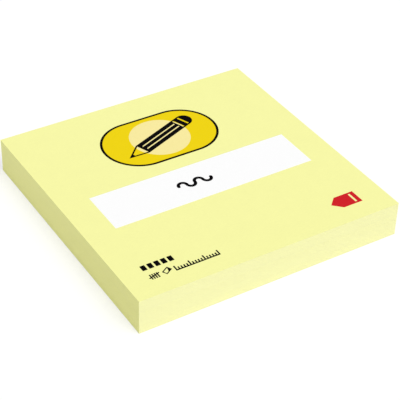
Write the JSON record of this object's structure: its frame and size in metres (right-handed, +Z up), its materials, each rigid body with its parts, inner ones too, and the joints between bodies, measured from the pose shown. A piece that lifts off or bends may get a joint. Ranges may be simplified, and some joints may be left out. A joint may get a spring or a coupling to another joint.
{
  "type": "sticky note pad",
  "caption": "Square pad of sticky notes lying flat, glued along one edge, with a printed cover sheet on top and a backing sheet below.",
  "frame": {"origin": "centre of the pad's underside, on the surface it lies on", "axes": "+X the way the print reads, +Y towards the glued edge, +Z up through the stack of sheets"},
  "size_m": [0.076, 0.076, 0.01],
  "materials": {
    "note_paper": "cut edges of uncoated pale yellow paper",
    "cover_paper": "smooth pale yellow paper",
    "backing_paper": "pale yellow release paper, slightly glossy on its inner face",
    "note_glue": "dry low-tack glue",
    "white_ink": "printed film, matte",
    "gold_ink": "printed film, satin",
    "cream_ink": "printed film, satin",
    "black_ink": "printed film, satin",
    "red_ink": "printed film, satin"
  },
  "bodies": {
    "root": {"backing_sheet": "backing_paper", "backing_glue": "note_glue", "note_block": "note_paper", "cover_glue": "note_glue", "cover_sheet": "cover_paper", "badge_rim": "black_ink", "badge_field": "gold_ink", "badge_medallion": "cream_ink", "pencil_print": "black_ink", "white_band": "white_ink", "pen_stroke": "black_ink", "corner_flag": "red_ink", "patch_row": "black_ink", "tally_mark": "black_ink", "sheet_icon": "black_ink", "ruler_scale": "black_ink"}
  },
  "joints": []
}
